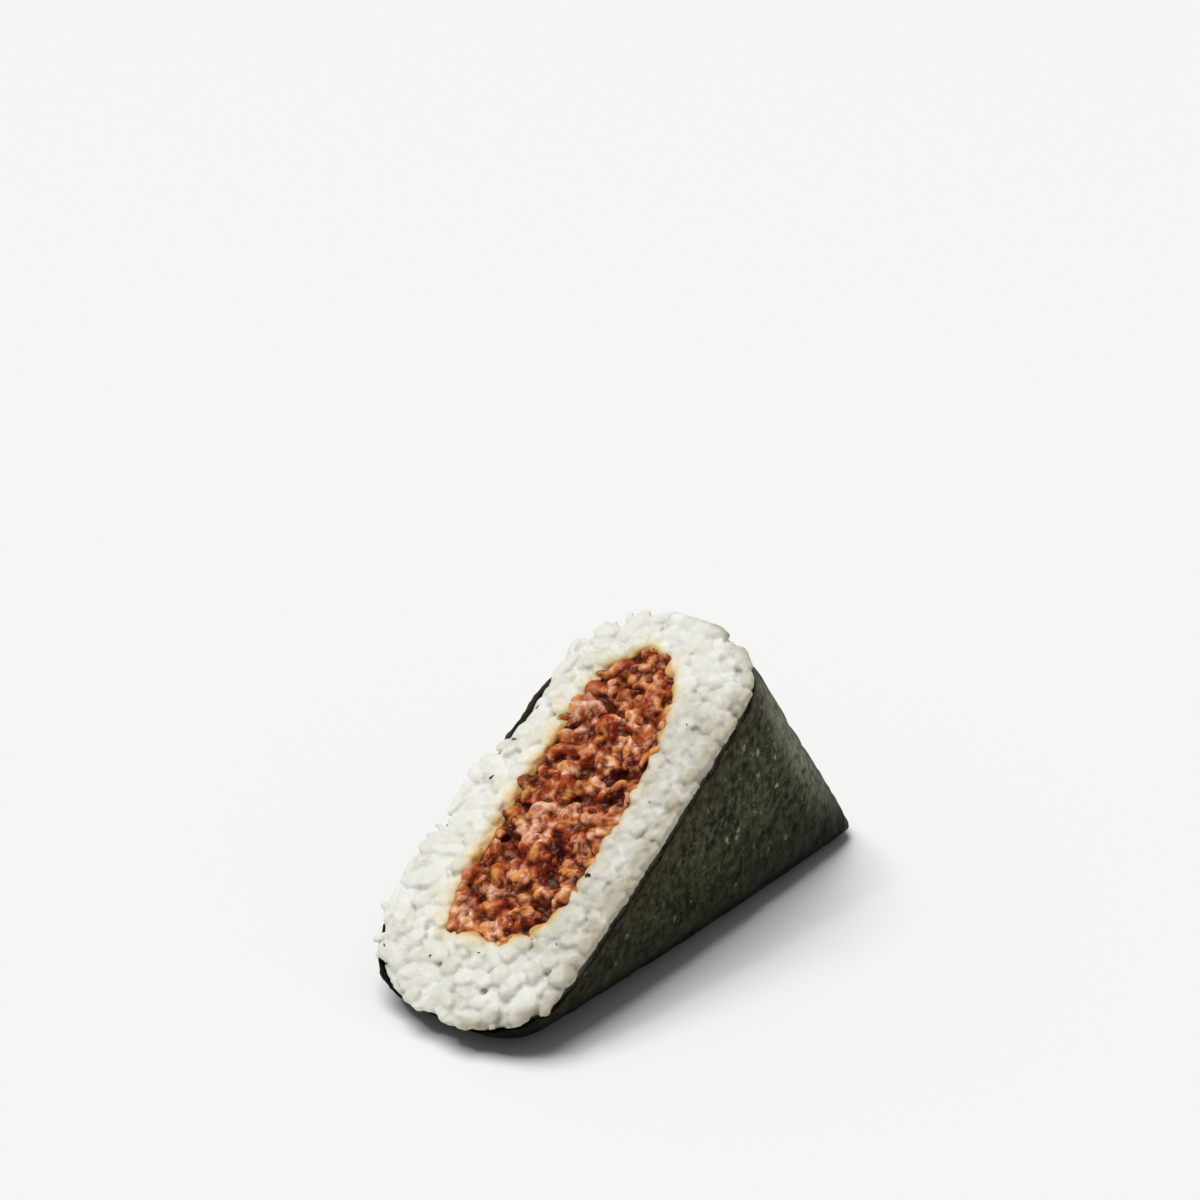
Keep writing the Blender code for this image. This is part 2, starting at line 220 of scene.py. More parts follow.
class FillingMap:
    """The distance outside the filling on a fine grid, so that many points can be read quickly."""

    STEP = 0.25

    def __init__(self):
        self.u = np.arange(CUT_START - 4, BASE + 4, self.STEP)
        self.v = np.arange(-THICKNESS / 2 - 4, THICKNESS / 2 + 4, self.STEP)
        grid_u, grid_v = np.meshgrid(self.u, self.v, indexing="ij")
        self.distance = outside_filling(grid_u.ravel(), grid_v.ravel()).reshape(grid_u.shape)
        self.slopes = np.gradient(self.distance, self.STEP)

    def read(self, grid, u, v):
        i = np.clip((u - self.u[0]) / self.STEP, 0, len(self.u) - 1.001)
        j = np.clip((v - self.v[0]) / self.STEP, 0, len(self.v) - 1.001)
        a, b = i.astype(int), j.astype(int)
        s, t = i - a, j - b
        low = grid[a, b] * (1 - t) + grid[a, b + 1] * t
        high = grid[a + 1, b] * (1 - t) + grid[a + 1, b + 1] * t
        return low * (1 - s) + high * s

    def outside(self, u, v):
        return self.read(self.distance, u, v)

    def outwards(self, u, v):
        """The direction that leads away from the filling."""
        along, across = (self.read(slope, u, v) for slope in self.slopes)
        length = np.maximum(np.hypot(along, across), 1e-6)
        return along / length, across / length


filling_map = FillingMap()


# Meshes

MOST_TRIANGLES = 185000


def mesh_of(name, points, faces):
    mesh = bpy.data.meshes.new(name)
    mesh.from_pydata(points.tolist(), [], faces)
    return mesh


def put(name, data):
    """A new object in the scene."""
    item = bpy.data.objects.new(name, data)
    bpy.context.scene.collection.objects.link(item)
    return item


def new_piece(name, points, faces, finish, slot, replaced, **attributes):
    """A piece of the half from points of the cut's frame. The frame is mirrored, so faces turn over."""
    mesh = mesh_of(name, placed(points), [tuple(reversed(face)) for face in faces])
    for label, values in attributes.items():
        values = np.broadcast_to(values, len(points)).astype(np.float32)
        mesh.attributes.new(label, "FLOAT", "POINT").data.foreach_set("value", values)
    mesh.shade_smooth()
    mesh.materials.append(finish)
    piece = put(name, mesh)
    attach(piece, "root")
    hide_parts(replaced)


def bridge(a, b, count):
    """Quads between two rings of count points. Their points are numbered from a and from b."""
    return [(a + i, a + (i + 1) % count, b + (i + 1) % count, b + i) for i in range(count)]


def tube(first, last, count):
    """Quads between all rings from number first to number last."""
    return [quad for ring in range(first, last) for quad in bridge(ring * count, (ring + 1) * count, count)]


def fan(ring, count, centre):
    """Triangles from one ring to a point in its middle."""
    return [(ring * count + i, ring * count + (i + 1) % count, centre) for i in range(count)]


def turned_outwards(points, faces):
    """The faces of a closed mesh, wound so that they face outwards in the cut's frame."""
    mesh = bmesh.new()
    verts = [mesh.verts.new(p) for p in points]
    for face in faces:
        mesh.faces.new([verts[i] for i in face])
    mesh.verts.index_update()
    bmesh.ops.recalc_face_normals(mesh, faces=mesh.faces)
    wound = [tuple(vert.index for vert in face.verts) for face in mesh.faces]
    mesh.free()
    return wound


def together(bodies):
    """One mesh from pairs of points and faces."""
    faces, first = [], 0
    for points, own_faces in bodies:
        faces += [tuple(first + i for i in face) for face in own_faces]
        first += len(points)
    return np.concatenate([points for points, _ in bodies]), faces


def merging(draft, voxel, rounds):
    """Joins closed shapes to one surface, then eases it by rounds of smoothing."""
    merge = draft.modifiers.new("merge", "REMESH")
    merge.mode = "VOXEL"
    merge.voxel_size = voxel
    ease = draft.modifiers.new("ease", "SMOOTH")
    ease.factor = 0.5
    ease.iterations = rounds


def thinning(draft, hidden_from):
    """Makes the surface coarser where it lies deeper than hidden_from, and nowhere else."""
    mesh = draft.data
    hidden = draft.vertex_groups.new(name="hidden")
    hidden.add([vert.index for vert in mesh.vertices if vert.co.z > hidden_from], 1.0, "REPLACE")
    thin = draft.modifiers.new("thin", "DECIMATE")
    thin.ratio = min(1.0, MOST_TRIANGLES / sum(len(face.vertices) - 2 for face in mesh.polygons))
    thin.vertex_group = hidden.name


def after_modifiers(mesh, add_modifiers, *settings):
    """A new mesh as the modifiers leave the old one, which is removed."""
    draft = put("draft", mesh)
    add_modifiers(draft, *settings)
    graph = bpy.context.evaluated_depsgraph_get()
    changed = bpy.data.meshes.new_from_object(draft.evaluated_get(graph))
    bpy.data.objects.remove(draft)
    bpy.data.meshes.remove(mesh)
    return changed


def read_all(items, name):
    values = np.empty(len(items) * 3)
    items.foreach_get(name, values)
    return values.reshape(-1, 3)


def merged(points, faces, voxel, rounds, hidden_from):
    """Points, faces and normals of closed shapes that stick together, coarser where they are hidden."""
    mesh = after_modifiers(mesh_of("draft", points, faces), merging, voxel, rounds)
    mesh = after_modifiers(mesh, thinning, hidden_from)
    joined_faces = [tuple(face.vertices) for face in mesh.polygons]
    joined_points, normals = read_all(mesh.vertices, "co"), read_all(mesh.vertex_normals, "vector")
    bpy.data.meshes.remove(mesh)
    return joined_points, joined_faces, normals


def tree_of(centres):
    tree = kdtree.KDTree(len(centres))
    for i, centre in enumerate(centres):
        tree.insert(centre, i)
    tree.balance()
    return tree


def nearest(centres, points):
    """For each point, the number of the centre that lies nearest."""
    tree = tree_of(centres)
    return np.array([tree.find(p)[1] for p in points])


def seams_at(points, spacing, width=0.32):
    """1 along the seams between uneven cells about spacing wide, 0 inside them."""
    steps = [np.arange(a, b + spacing, spacing) for a, b in zip(points.min(axis=0), points.max(axis=0))]
    centres = np.stack(np.meshgrid(*steps), axis=-1).reshape(-1, 3)
    shifts = [noise_at(centres, 0.37 * spacing, shift) for shift in (1.0, 2.0, 3.0)]
    tree = tree_of(centres + spacing * stacked(*shifts))
    first, second = np.array([[found[2] for found in tree.find_n(p, 2)] for p in points]).T
    return np.exp(-(((second - first) / width) ** 2))


# Materials


def rgba(colour):
    """A colour of three numbers, or a grey of one number, with full alpha."""
    return (*colour, 1.0) if isinstance(colour, tuple) else (colour, colour, colour, 1.0)


class Nodes:
    """A new material with short ways to add nodes to it. Textures are read in millimetres."""

    def __init__(self, name):
        self.material = bpy.data.materials.new(name)
        self.material.use_nodes = True
        self.tree = self.material.node_tree
        self.per_mm = self.coordinates(1, 1, 1)

    def fill(self, node, values):
        """Links or sets the sockets that values names or numbers."""
        for key, value in values.items():
            place = node.inputs[key]
            if isinstance(value, bpy.types.NodeSocket):
                self.tree.links.new(value, place)
            else:
                place.default_value = rgba(value) if place.type == "RGBA" else value

    def add(self, kind, values=None, **settings):
        node = self.tree.nodes.new("ShaderNode" + kind)
        for key, value in settings.items():
            setattr(node, key, value)
        self.fill(node, values or {})
        return node

    def finished(self, values):
        self.fill(self.tree.nodes["Principled BSDF"], values)
        return self.material

    def coordinates(self, *stretch):
        source = self.add("TexCoord").outputs["Object"]
        scale = [1000 * s for s in stretch]
        return self.add("Mapping", {"Vector": source, "Scale": scale}).outputs["Vector"]

    def attribute(self, name):
        return self.add("Attribute", attribute_name=name).outputs["Fac"]

    def noise(self, scale, detail=4.0, roughness=0.55, at=None):
        place = self.per_mm if at is None else at
        values = {"Vector": place, "Scale": scale, "Detail": detail, "Roughness": roughness}
        return self.add("TexNoise", values).outputs["Fac"]

    def shaken(self, scale, amount):
        """Coordinates moved about by noise, so that round cells turn irregular."""
        moves = self.add("TexNoise", {"Vector": self.per_mm, "Scale": scale}).outputs["Color"]
        values = {0: moves, 1: (amount, amount, amount), 2: self.per_mm}
        return self.add("VectorMath", values, operation="MULTIPLY_ADD").outputs["Vector"]

    def ramp(self, source, *stops):
        """A colour ramp from (position, colour) stops, read at source. A number is a grey."""
        node = self.add("ValToRGB", {"Fac": source})
        elements = node.color_ramp.elements
        while len(elements) < len(stops):
            elements.new(0.5)
        for element, (position, colour) in zip(elements, stops):
            element.position = position
            element.color = rgba(colour)
        return node.outputs["Color"]

    def blend(self, share, first, second, mode="MIX"):
        """Mixes two colours. A share that is a number is the same everywhere."""
        # inputs 6 and 7 and output 2 are for colours
        node = self.add("Mix", {"Factor": share, 6: first, 7: second}, data_type="RGBA", blend_type=mode)
        return node.outputs[2]

    def times(self, first, second):
        """One colour darkened by another."""
        return self.blend(1.0, first, second, "MULTIPLY")

    def math(self, operation, first, second, clamp=False):
        node = self.add("Math", {0: first, 1: second}, operation=operation, use_clamp=clamp)
        return node.outputs["Value"]

    def flecks(self, at, scale, size, share):
        """1 on scattered small flecks and 0 between them."""
        cells = self.add("TexVoronoi", {"Vector": at, "Scale": scale}).outputs
        chance = self.add("SeparateColor", {"Color": cells["Color"]}).outputs["Red"]
        close = self.ramp(cells["Distance"], (0.4 * size, 1.0), (size, 0.0))
        return self.math("MULTIPLY", close, self.math("LESS_THAN", chance, share))

    def bump(self, height, distance, strength, **below):
        """A bump, on top of the one below if its Normal is given."""
        values = {"Height": height, "Distance": distance, "Strength": strength, **below}
        return self.add("Bump", values).outputs["Normal"]


def rice_material():
    """Cooked white rice: moist, stained by oil round the filling, with painted shade along the near rim,
    beside the filling and at the low end.
    """
    m = Nodes("rice")
    white = m.ramp(
        m.attribute("tone"),
        (0.0, (0.76, 0.755, 0.69)), (0.45, (0.87, 0.87, 0.825)), (1.0, (0.94, 0.945, 0.925)),
    )
    shaded = m.ramp(m.noise(0.8, 5.0, 0.65), (0.38, (0.9, 0.905, 0.87)), (0.6, 1.0))
    # painted shade: darkens the rice towards a warm grey where its attribute is high
    painted_shade_colour = m.ramp(m.attribute("painted_shade"), (0.0, 1.0), (1.0, (0.6, 0.55, 0.46)))
    base = m.times(m.blend(0.8, white, shaded, "MULTIPLY"), painted_shade_colour)
    wobble = m.math("ADD", m.noise(0.9), 0.5)
    oil = m.ramp(
        m.math("MULTIPLY", m.attribute("stain"), wobble),
        (0.0, 1.0), (0.25, (1.0, 0.965, 0.87)), (0.5, (1.0, 0.89, 0.67)),
        (0.75, (0.98, 0.74, 0.42)), (1.0, (0.88, 0.52, 0.18)),
    )
    coarse = m.bump(m.noise(1.7, 4.0, 0.7), 0.00024, 0.8)
    return m.finished({
        "Base Color": m.times(base, oil),
        "Subsurface Weight": 0.75,
        "Subsurface Radius": (1.0, 0.85, 0.6),
        "Subsurface Scale": 0.0011,
        "Roughness": 0.42,
        "IOR": 1.4,
        "Coat Weight": 0.12,
        "Coat Roughness": 0.25,
        "Normal": m.bump(m.noise(4.5, 3.0, 0.6), 0.00012, 0.8, Normal=coarse),
    })


def tuna_material():
    """Flaked tuna in chilli sauce: red-brown, oily, dark in its hollows, some crumbs pale."""
    m = Nodes("tuna")
    crumb = m.ramp(
        m.attribute("tint"),
        (0.0, (0.22, 0.028, 0.006)), (0.22, (0.37, 0.06, 0.012)), (0.42, (0.52, 0.146, 0.04)),
        (0.58, (0.66, 0.295, 0.158)), (0.72, (0.88, 0.59, 0.465)), (0.84, (0.74, 0.29, 0.09)),
        (1.0, (0.83, 0.38, 0.12)),
    )
    fibres = m.ramp(m.noise(1.3, 6.0, 0.65), (0.34, (0.42, 0.3, 0.22)), (0.62, (1.3, 1.25, 1.2)))
    mottled = m.blend(0.6, crumb, fibres, "MULTIPLY")
    hollow = m.attribute("hollow")
    # darker in the hollows: partly the sauce that collects there, partly painted shade
    sauce = m.ramp(
        hollow,
        (0.0, 1.0), (0.35, (0.66, 0.48, 0.36)), (0.7, (0.26, 0.12, 0.05)), (1.0, (0.12, 0.03, 0.006)),
    )
    oily = m.blend(m.attribute("oil"), mottled, (0.8, 0.39, 0.11))
    wet = m.ramp(m.noise(0.8, 2.0), (0.35, 0.2), (0.65, 0.42))
    return m.finished({
        "Base Color": m.times(oily, sauce),
        "Subsurface Weight": 0.5,
        "Subsurface Radius": (1.0, 0.4, 0.2),
        "Subsurface Scale": 0.0012,
        "IOR": 1.38,
        "Specular IOR Level": 0.12,
        "Coat Weight": 0.24,
        "Coat Roughness": 0.1,
        "Roughness": m.blend(hollow, wet, 0.85),
        "Normal": m.bump(m.noise(2.6, 3.0, 0.6), 0.00013, 0.6),
    })


def seaweed_material():
    """Dried seaweed: dark green to black, cloudy, with pale flecks and upright streaks."""
    m = Nodes("seaweed")
    base = m.ramp(
        m.noise(0.13, 2.0, 0.5),
        (0.38, (0.01, 0.007, 0.003)), (0.5, (0.01, 0.01, 0.003)), (0.64, (0.02, 0.023, 0.009)),
    )
    blotches = m.noise(0.42, 2.0, 0.5, m.shaken(0.5, 1.5))
    cloudy = m.ramp(blotches, (0.38, 0.0), (0.5, 0.35), (0.64, 1.0))
    blotched = m.blend(cloudy, base, (0.056, 0.058, 0.025))
    patches = m.noise(0.9, 3.5, 0.6)
    patched = m.blend(m.ramp(patches, (0.47, 0.0), (0.66, 0.8)), blotched, (0.125, 0.126, 0.068))
    patched = m.times(patched, m.ramp(patches, (0.3, 0.55), (0.48, 1.0)))
    streaks = m.noise(0.7, 4.0, 0.6, m.coordinates(1, 1, 0.3))
    # painted highlight: the sheet lighter along its upper ridge by the back edge, and its pale streaks
    # stronger there
    lit_ridge = m.attribute("lit_ridge")
    near_lit_ridge = m.math("ADD", lit_ridge, 0.35, clamp=True)
    streaky = m.math("MULTIPLY", m.ramp(streaks, (0.48, 0.0), (0.68, 0.9)), near_lit_ridge)
    streaked = m.blend(streaky, patched, (0.135, 0.148, 0.085))
    loose = m.shaken(2.2, 1.3)
    clusters = m.ramp(blotches, (0.42, 0.15), (0.58, 1.0))
    large = m.math("MULTIPLY", m.flecks(loose, 0.5, 0.26, 0.6), clusters)
    small = m.math("MULTIPLY", m.flecks(loose, 1.2, 0.34, 0.4), clusters)
    flecked = m.blend(small, streaked, (0.19, 0.195, 0.125))
    flecked = m.blend(large, flecked, (0.38, 0.39, 0.3))
    brown = m.math("MULTIPLY", m.attribute("edge"), 0.5)
    browned = m.blend(brown, flecked, (0.062, 0.05, 0.027))
    # the painted highlight along the ridge, lighter in patches
    painted_ridge_highlight = m.math("MULTIPLY", lit_ridge, m.ramp(patches, (0.36, 0.12), (0.6, 0.9)))
    ridge_highlighted = m.blend(painted_ridge_highlight, browned, (0.29, 0.3, 0.21))
    # painted shade: the sheet darker towards the ground, set by its height
    painted_ground_shade = m.ramp(m.attribute("height"), (0.0, 0.03), (0.2, 0.09), (0.44, 0.38), (0.68, 0.72), (1.0, 1.05))
    relief = m.bump(patches, 0.0004, 0.8, Normal=m.bump(blotches, 0.0008, 0.6))
    return m.finished({
        "Base Color": m.times(ridge_highlighted, painted_ground_shade),
        "Roughness": m.ramp(patches, (0.3, 0.38), (0.7, 0.62)),
        "Specular IOR Level": 0.022,
        "Normal": m.bump(streaks, 0.00012, 0.7, Normal=relief),
    })


def floor_material():
    white = {"Base Color": (0.9, 0.91, 0.905), "Roughness": 0.9, "Specular IOR Level": 0.1}
    return Nodes("floor").finished(white)


# The seaweed sheet

SHEET_LOOPS = 92
SHEET_INNER_LOOPS = 14
SHOWN_SHEET_THICKNESS = 0.28
FLARE = 0.8
TEARS = 0.34
TEARS_AT_NEAR_EDGE = 0.12


def wave(points):
    """How far the sheet stands off there. It lies flat where the half rests."""
    u, v, q = points.T
    place = stacked(u, 0.7 * v, 1.3 * q) / WAVE_LENGTH + (3.1, 7.7, 1.9)
    ripple = 0.5 + 0.5 * noise_at(place, 1.0)
    return SHEET_WAVE * ripple * smooth(above_ground(points), 3.0, 9.0) * smooth(q, 0.0, 5.0)


def edge_depth(loop):
    """How deep the sheet's ragged edge lies there. The near edge is cut more cleanly."""
    u, v = loop.T
    flat = stacked(u, v, 0.0)
    rag = noise_at(flat / SHEET_EDGE_RAGS + (5.0, 0.0, 2.0), 1.0)
    tears = noise_at(flat, 0.9, 8.0)
    depth = SHEET_EDGE_DEPTH + SHEET_EDGE_WANDER * rag
    depth += (TEARS - (TEARS - TEARS_AT_NEAR_EDGE) * smooth(-v, 6.0, 12.0)) * tears
    depth -= 0.8 * smooth(v, 6.0, 11.0) * smooth(rag, 0.15, 0.45) + 0.5 * at_low_end(u)
    bare = bare_edge(u, v)
    return depth * (1 - bare) + bare * (0.45 * rag + 0.4 * tears - 0.75)


def crinkle(points):
    """Small folds and grain-sized bumps of the sheet. They fade where it lies flat on the ground."""
    grains = noise_at(points, 3.4, 1.0)
    small = noise_at(points * (1.0, 1.0, 0.6), 1.2, 4.0)
    creases = 1 - 2 * np.abs(noise_at(points * (1.0, 0.8, 1.2), 7.0, 9.0))
    relief = 0.13 * grains + 0.05 * small - 0.15 * np.maximum(creases - 0.75, 0) / 0.25
    return relief * smooth(above_ground(points), 0.3, 2.5)


def sheet_rings(skin, count):
    """Rings of the sheet from the cut to the tip, closer together near both."""
    rings = []
    last = TIP_CENTRE_Q + (TIP_RADIUS - skin) * 0.93
    t = np.arange(count) / (count - 1)
    depths = SHEET_EDGE_DEPTH + (last - SHEET_EDGE_DEPTH) * (0.45 * t + 0.55 * (1 - np.cos(math.pi * t)) / 2)
    for depth in depths:
        loop = section(depth, skin)
        along = np.roll(loop, -1, axis=0) - np.roll(loop, 1, axis=0)
        outwards = stacked(along[:, 1], -along[:, 0])
        outwards /= np.maximum(np.linalg.norm(outwards, axis=1, keepdims=True), 1e-9)
        points = stacked(*loop.T, depth if rings else edge_depth(loop))
        flare = FLARE * at_low_end(points[:, 0]) * np.exp(-np.maximum(points[:, 2], 0) / 1.6)
        points[:, :2] += outwards * (wave(points) + flare)[:, None]
        rings.append(points)
    return rings


def build_sheet(finish):
    """The seaweed, one sheet round every face but the cut."""
    rings = sheet_rings(0.0, SHEET_LOOPS) + sheet_rings(SHOWN_SHEET_THICKNESS, SHEET_INNER_LOOPS)
    count, last = len(rings[0]), len(rings) - 1
    centres = [rings[SHEET_LOOPS - 1].mean(axis=0), rings[-1].mean(axis=0)]
    points = np.concatenate((*rings, centres))
    faces = tube(0, SHEET_LOOPS - 1, count) + tube(SHEET_LOOPS, last, count)
    faces += fan(SHEET_LOOPS - 1, count, len(points) - 2) + fan(last, count, len(points) - 1)
    inner = SHEET_LOOPS * count
    faces = turned_outwards(points, faces + bridge(0, inner, count))
    mesh = mesh_of("draft", points, faces)
    normals = read_all(mesh.vertex_normals, "vector")
    bpy.data.meshes.remove(mesh)
    shown = np.arange(len(points)) < inner
    points[shown] += normals[shown] * crinkle(points[shown])[:, None]
    points[:, 2] = np.minimum(points[:, 2], points[:, 0] * SINE / COSINE)
    edge = np.exp(-np.maximum(points[:, 2] - SHEET_EDGE_DEPTH, 0) / 2.2)
    # height sets the painted shade that darkens the sheet towards the ground
    height = np.clip(above_ground(points) / 18.0, 0, 1)
    from_back = inset(points[:, 0], np.maximum(points[:, 2], 0.0))
    # where the painted highlight lies: on the broad faces next to the rounded back edge, higher up
    lit_ridge = smooth(np.abs(normals[:, 1]), 0.5, 0.85) * (1 - smooth(from_back, 4.0, 9.0))
    attributes = {"edge": edge, "height": height, "lit_ridge": lit_ridge * smooth(height, 0.1, 0.6) * (1 - edge)}
    new_piece("seaweed", points, faces, finish, "seaweed", "seaweed_sheet", **attributes)


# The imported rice

RIM_PROFILE = (
    # how far in from the outer form, and how deep
    (1.1, SLAB_DEPTH), (0.95, 0.75), (0.75, 0.5), (0.6, 0.2), (0.55, -0.1), (0.62, -0.32),
    (0.85, -0.5), (1.2, -0.64), (1.7, -0.74), (2.3, -0.8), (3.2, CORE_LEVEL),
)
CORE_FRONT = 0.8


def rice_attributes(points, tone):
    """Oil that the rice took up, the grains' tones, and painted shade.

    The painted shade is darkest at the near edge, beside the filling on its near side, and low at the apex
    end.
    """
    u, v, _ = points.T
    outside = filling_map.outside(u, v) + 0.8 * smooth(v - FILLING_OFFSET, 2.0, 9.0)
    away_u, away_v = filling_map.outwards(u, v)
    reach = 0.75 + 0.85 * np.maximum(0.75 * away_v - 0.65 * away_u, 0)
    reach *= 1 + 0.75 * noise_at(points, 2.4, 2.0) + 0.4 * noise_at(points, 0.9, 12.0)
    stain = np.exp(-np.maximum(outside, 0) / reach) * (outside < 9)
    # painted shade: the rice darkened at the near rim, beside the filling and at the low end, in patches
    near = falling(v + half_thickness(u, 0.0, 0.0, -1), -0.6, 3.6)
    low = falling(u, 8.0, 22.0)
    beside_filling = smooth(-v, 4.0, 7.5) * smooth(u, 15.0, 21.0) * falling(u, 60.0, 66.0)
    patches = 1 + 0.6 * noise_at(points, 2.6, 21.0) + 0.5 * noise_at(points, 1.1, 22.0)
    painted_shade = np.clip((0.75 * near + 0.42 * beside_filling + 0.15 * low + 0.06) * patches, 0.0, 1.0)
    return {"stain": stain, "tone": tone, "painted_shade": painted_shade}


def filling_outline(margin):
    """The filling's outline moved out by margin, one point for each point of the rice's rim."""
    start = np.array((FILLING_MIDDLE, FILLING_OFFSET))
    step = section(0.0, RIM_PROFILE[-1][0]) - start
    margin = margin - 0.9 * smooth(step[:, 1], 2.0, 9.0)

    def is_in(share):
        return filling_map.outside(*(start + step * share[:, None]).T) < margin

    zero = np.zeros(len(step))
    return start + step * bisected(zero, zero + 1, is_in, 30)[:, None]


def filling_rings(margin, front, end, shares=(0.0, 0.15, 0.3, 0.45, 0.6, 0.75, 0.88, 0.96)):
    """The outline at that margin, carried into the body from depth front to depth end."""
    u, v = filling_outline(margin).T
    rings = [stacked(u, v, front)]
    for share in shares:
        middle = FILLING_MIDDLE + (FILLING_END - FILLING_MIDDLE) * share
        along = middle + (u - FILLING_MIDDLE) * (1 - share) ** 0.75
        across = FILLING_OFFSET + (v - FILLING_OFFSET) * (1 - share) ** 0.45
        rings.append(stacked(along, across, FILLING_STRAIGHT + (end - FILLING_STRAIGHT) * share))
    return rings


def closed_from_rings(rings):
    """Points and faces of a closed body from rings, with a point in the middle of both ends."""
    count, last = len(rings[0]), len(rings) - 1
    points = np.concatenate((*rings, [rings[0].mean(axis=0), rings[-1].mean(axis=0)]))
    faces = tube(0, last, count) + fan(0, count, len(points) - 2) + fan(last, count, len(points) - 1)
    return points, turned_outwards(points, faces)


def build_rice_core(finish):
    """Rice pressed too close to tell apart, behind the grains that the cut shows."""
    last = TIP_CENTRE_Q + (TIP_RADIUS - INSIDE_SHEET) * 0.8
    depths = np.linspace(last, CORE_FRONT, 15)
    walls = [stacked(*section(depth, INSIDE_SHEET).T, depth) for depth in depths]
    pocket = filling_rings(0.3, CORE_FRONT, FILLING_DEPTH)
    points, faces = closed_from_rings(walls + pocket)
    new_piece("rice_core", points, faces, finish, "rice", "rice", **rice_attributes(points, 0.5))


def front_slab():
    """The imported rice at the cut, with the rim that the knife smeared over the sheet's edge."""
    rim_edge = section(0.0, RIM_PROFILE[-1][0])
    to_mouth = filling_outline(0.0) - rim_edge
    rings = [stacked(*section(0.0, skin).T, depth) for skin, depth in RIM_PROFILE]
    rings += [stacked(*(rim_edge + to_mouth * t).T, CORE_LEVEL) for t in (0.25, 0.5, 0.75, 1.0)]
    rings += [stacked(*(rim_edge + to_mouth * t).T, SLAB_DEPTH) for t in (1.0, 0.5, 0.0)]
    points = np.concatenate(rings)
    u, v, q = points.T
    on_cut = falling(q, -0.2, 0.9)
    q += on_cut * (0.24 * noise_at(points, 2.3, 3.0) + 0.2 * noise_at(points, 1.0, 6.0))
    outwards = np.sign(v) * smooth(np.abs(v), 8.0, 14.0)
    v += on_cut * outwards * (0.28 * noise_at(points, 2.4, 7.0) + 0.1 * noise_at(points, 1.0, 8.0))
    v -= falling(q, 0.2, 0.9) * 0.6 * bare_edge(u, v)
    u -= 1.1 * falling(u, CUT_START, CUT_START + 6.0) * falling(q, 0.1, 0.9)
    count, last = len(rim_edge), len(rings) - 1
    return points, turned_outwards(points, tube(0, last, count) + bridge(last * count, 0, count))


# The grains

GRAIN_COUNT = 360
MOST_BITS = 120
GRAIN_RADIUS = 1.5
GRAIN_LENGTH = 6.4
GRAIN_FLATNESS = 0.88
GRAIN_VOXEL = 0.22
GRAIN_EASING = 3
GRAINS_HIDDEN_FROM = 1.3
HIGHEST_RICE = 38.5  # above the ground
PACKING_ROUNDS = 160
PAIRS_FOUND_EVERY = 8
KEPT_APART = 0.8
LONGEST_MOVE = 0.8
LARGEST_TURN = 0.4


def dot(first, second):
    return np.einsum("ij,ij->i", first, second)


def closest_between(first, second):
    """For pairs of segments given as (middle, direction, half length), where each comes closest."""
    p, d, h = first
    r, e, k = second
    b, c, f = dot(d, e), dot(d, p - r), dot(e, p - r)
    s = np.clip((b * f - c) / np.maximum(1 - b * b, 1e-3), -h, h)
    t = np.clip(b * s + f, -k, k)
    s = np.clip(b * t - c, -h, h)
    return s, t


def overhang(u, v, q):
    """How far grains may reach past the outer form: over the sheet's edge before it, not beside it."""
    far = smooth(v, 2.0, 11.0)
    base = smooth(u, BASE - 12, BASE - 3)
    loose = np.maximum(np.maximum(0.7 * far, 0.35 * base), 1.15 * at_low_end(u))
    flat = stacked(u, v, 0.0)
    teeth = 0.7 * noise_at(flat, 1.7, 12.0) + 0.25 * noise_at(flat, 0.8, 16.0)
    teeth *= smooth(loose, 0.1, 0.5) * (1 - 0.75 * base)
    clean = 0.16 * noise_at(flat, 1.7, 18.0)
    ragged = 0.08 + loose + teeth + clean - 1.6 * bare_edge(u, v)
    return ragged + (-INSIDE_SHEET - ragged) * smooth(q, -0.5, 0.7)


def pushed_inside(points, clearance):
    """How far each point has to move to lie inside the outer form by clearance."""
    u, v, q = points.T
    skin = clearance - overhang(u, v, q)
    depth_q = np.maximum(q, 0.0)
    step = 0.02
    here = inset(u, depth_q)
    short = np.maximum(skin - here, 0.0)
    along = short * ((inset(u + step, depth_q) - here) / step)
    inwards = short * ((inset(u, depth_q + step) - here) / step)
    half = half_thickness(u + along, depth_q, skin, v)
    over = np.maximum(np.abs(v) - np.maximum(half, 0.0), 0.0)
    return stacked(along, -np.sign(v) * over, 0.3 * inwards)


